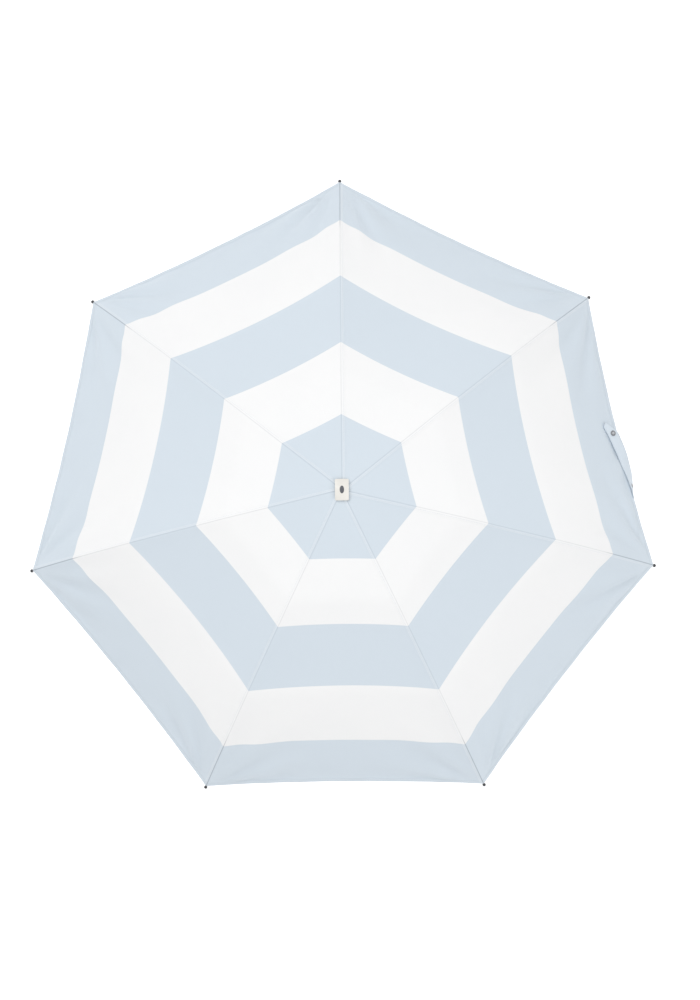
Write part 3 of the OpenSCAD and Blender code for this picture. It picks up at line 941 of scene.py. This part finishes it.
def moulded(name, colour, rough, grain=2200):
    """Moulded plastic: a fine grain, faint flow marks, softened edges with a little wear."""
    n = Nodes(name, colour)
    place = n.place()
    fine = n.noise(place, grain, 3)
    flow = n.noise(place, 60, 3)
    dark = tuple(c * 0.82 for c in colour)
    light = tuple(c + (1 - c) * 0.35 for c in colour)
    mixed = n.mix(n.ramp(flow, 0.3, 0.75, 0.0, 0.5), colour, dark)
    normal, wear = n.soft_edges(0.35 * MM)
    mixed = n.mix(n.math("MULTIPLY", wear, 0.35), mixed, light)
    n.set(Base_Color=mixed, Roughness=n.ramp(flow, 0.3, 0.7, rough - 0.05, rough + 0.08))
    n.set(Normal=n.bump(fine, 0.02 * MM, 0.5, normal))
    return n


def drawn_metal(name, colour, rough, stretch=(1, 1, 1)):
    """Metal with fine drawn lines, light scuffs and softened edges."""
    n = Nodes(name, colour)
    place = n.place()
    lines = n.noise(n.scaled(place, stretch), 2600, 4)
    marks = n.ramp(n.noise(place, 170, 5), 0.56, 0.74)
    dark = tuple(c * 0.72 for c in colour)
    mixed = n.mix(n.math("MULTIPLY", lines, 0.35), colour, dark)
    mixed = n.mix(n.math("MULTIPLY", marks, 0.14), mixed, tuple(c * 0.5 for c in colour))
    normal, wear = n.soft_edges(0.2 * MM)
    mixed = n.mix(n.math("MULTIPLY", wear, 0.3), mixed, tuple(c + (1 - c) * 0.5 for c in colour))
    drawn = n.ramp(lines, 0.2, 0.8, rough, rough + 0.12)
    rough_value = n.math("ADD", drawn, n.math("MULTIPLY", marks, 0.12))
    n.set(Base_Color=mixed, Metallic=1.0, Roughness=rough_value)
    n.set(Normal=n.bump(lines, 0.01 * MM, 0.4, normal))
    return n


INLAY = (0.10, 0.105, 0.12)
INLAY_HALF_W = 3.2 * MM
INLAY_HALF_L = 5.6 * MM


def cap_material():
    """Ivory plastic with a plain dark oval inlay in the middle of its top."""
    n = moulded("cap_plastic_look", (0.80, 0.78, 0.735), 0.35)
    x, y, _ = n.split(n.place())
    across = n.math("DIVIDE", x, INLAY_HALF_W)
    down = n.math("DIVIDE", y, INLAY_HALF_L)
    reach = n.math("ADD", n.math("MULTIPLY", across, across), n.math("MULTIPLY", down, down))
    base = n.shader.inputs["Base Color"].links[0].from_socket
    n.set(Base_Color=n.mix(n.ramp(reach, 0.94, 1.06, 1, 0), base, INLAY))
    return n


def snap_material(name, ring, middle):
    """A press-stud: one plating on its rim and another in its middle."""
    n = drawn_metal(name, ring, 0.34)
    r, _, _ = n.uv("disc")
    base = n.shader.inputs["Base Color"].links[0].from_socket
    n.set(Base_Color=n.mix(n.ramp(r, 1.9 * MM, 2.4 * MM, 1, 0), base, middle))
    return n


def dress(look, *nodes):
    """Puts a material on CAD nodes."""
    for name in nodes:
        mesh = frame["nodes"][name].data
        mesh.materials.clear()
        mesh.materials.append(look.material)


def per_rib(*names):
    return [f"{name}_{i}" for name in names for i in range(1, RIBS + 1)]


UPRIGHT = (1, 1, 0.01)
ROUND = (0.05, 0.05, 1)
WIRE = (0.6, 0.6, 0.61)
WIRE_ROUGH = 0.25


def dress_frame():
    dress(moulded("handle_look", (0.74, 0.735, 0.71), 0.4), "handle_grip")
    dress(moulded("end_cap_look", (0.45, 0.55, 0.66), 0.4), "handle_end_cap")
    dress(drawn_metal("collar_look", (0.78, 0.78, 0.8), 0.12, ROUND), "handle_collar")
    tube_look = drawn_metal("tube_look", (0.5, 0.51, 0.53), 0.24, UPRIGHT)
    dress(tube_look, "shaft_lower", "shaft_middle", "shaft_upper")
    dress(moulded("hub_look", (0.035, 0.037, 0.04), 0.45), "crown", "runner")
    dress(cap_material(), "crown_cap")
    dress(moulded("button_look", (0.30, 0.32, 0.35), 0.35), "release_button")
    dress(drawn_metal("wire_look", WIRE, WIRE_ROUGH), "crown_wire", "runner_wire", "handle_screw")
    dress(drawn_metal("rib_look", (0.42, 0.43, 0.45), 0.3), *per_rib("main_rib", "stretcher"))
    dress(drawn_metal("bar_look", (0.5, 0.51, 0.53), 0.26), *per_rib("middle_rib"))
    dress(moulded("rod_look", (0.09, 0.093, 0.1), 0.38, 3200), *per_rib("outer_rib"))
    dress(drawn_metal("tip_look", (0.09, 0.09, 0.095), 0.35), *per_rib("rib_tip"))


make_canopy(fabric_material())
make_strap(strap_material())
RING_LOOK = snap_material("snap_ring_look", (0.3, 0.31, 0.33), (0.6, 0.62, 0.65))
STUD_LOOK = snap_material("snap_stud_look", (0.4, 0.4, 0.42), (0.6, 0.6, 0.62))
make_turned("snap_ring", RING_PROFILE, 1 - SNAP_AT / STRAP_LEN, RING_LOOK.material, "strap_snap")
make_turned("snap_post", STUD_PROFILE, SNAP_AT / STRAP_LEN, STUD_LOOK.material, "snap_stud")
make_spring(drawn_metal("spring_look", WIRE, WIRE_ROUGH).material)
dress_frame()

# ---- Stage: floor, lights and camera


def make_floor():
    bpy.ops.mesh.primitive_plane_add(size=FLOOR_SIZE)
    floor = bpy.context.object
    floor.name = "floor"
    n = Nodes("floor_white", (0.9, 0.9, 0.9))
    tone = n.noise(n.place(), 1.5, 2)
    colour = n.mix(n.ramp(tone, 0.3, 0.7), (0.93, 0.93, 0.93), (0.95, 0.95, 0.95))
    n.set(Base_Color=colour, Roughness=0.9)
    n.set(Emission_Color=(1, 1, 1, 1), Emission_Strength=0.35)
    floor.data.materials.append(n.material)


def make_light(name, place, size, energy):
    data = bpy.data.lights.new(name, "AREA")
    data.shape = "DISK"
    data.size = size
    data.energy = energy
    light = bpy.data.objects.new(name, data)
    light.location = place
    light.rotation_euler = (LIGHT_AIM - Vector(place)).to_track_quat("-Z", "Y").to_euler()
    bpy.context.scene.collection.objects.link(light)


def make_world():
    world = bpy.data.worlds.new("studio")
    bpy.context.scene.world = world
    world.use_nodes = True
    world.node_tree.nodes["Background"].inputs[0].default_value = (1, 1, 1, 1)
    world.node_tree.nodes["Background"].inputs[1].default_value = WORLD_LIGHT


def make_camera():
    data = bpy.data.cameras.new("camera")
    data.sensor_fit = "VERTICAL"
    data.sensor_height = SENSOR
    data.lens = LENS
    camera = bpy.data.objects.new("camera", data)
    crown = Vector((0, 0, CROWN.y))
    away = Vector((0, -math.sin(CAMERA_TILT), math.cos(CAMERA_TILT)))
    camera.location = crown + CAMERA_ASIDE + away * CAMERA_DISTANCE
    turn = Matrix.Rotation(CAMERA_TILT, 3, "X") @ Matrix.Rotation(CAMERA_ROLL, 3, "Z")
    camera.rotation_euler = turn.to_euler()
    bpy.context.scene.collection.objects.link(camera)
    bpy.context.scene.camera = camera


make_floor()
for light in LIGHTS:
    make_light(*light)
make_world()
make_camera()
bpy.context.scene.view_settings.view_transform = "Standard"
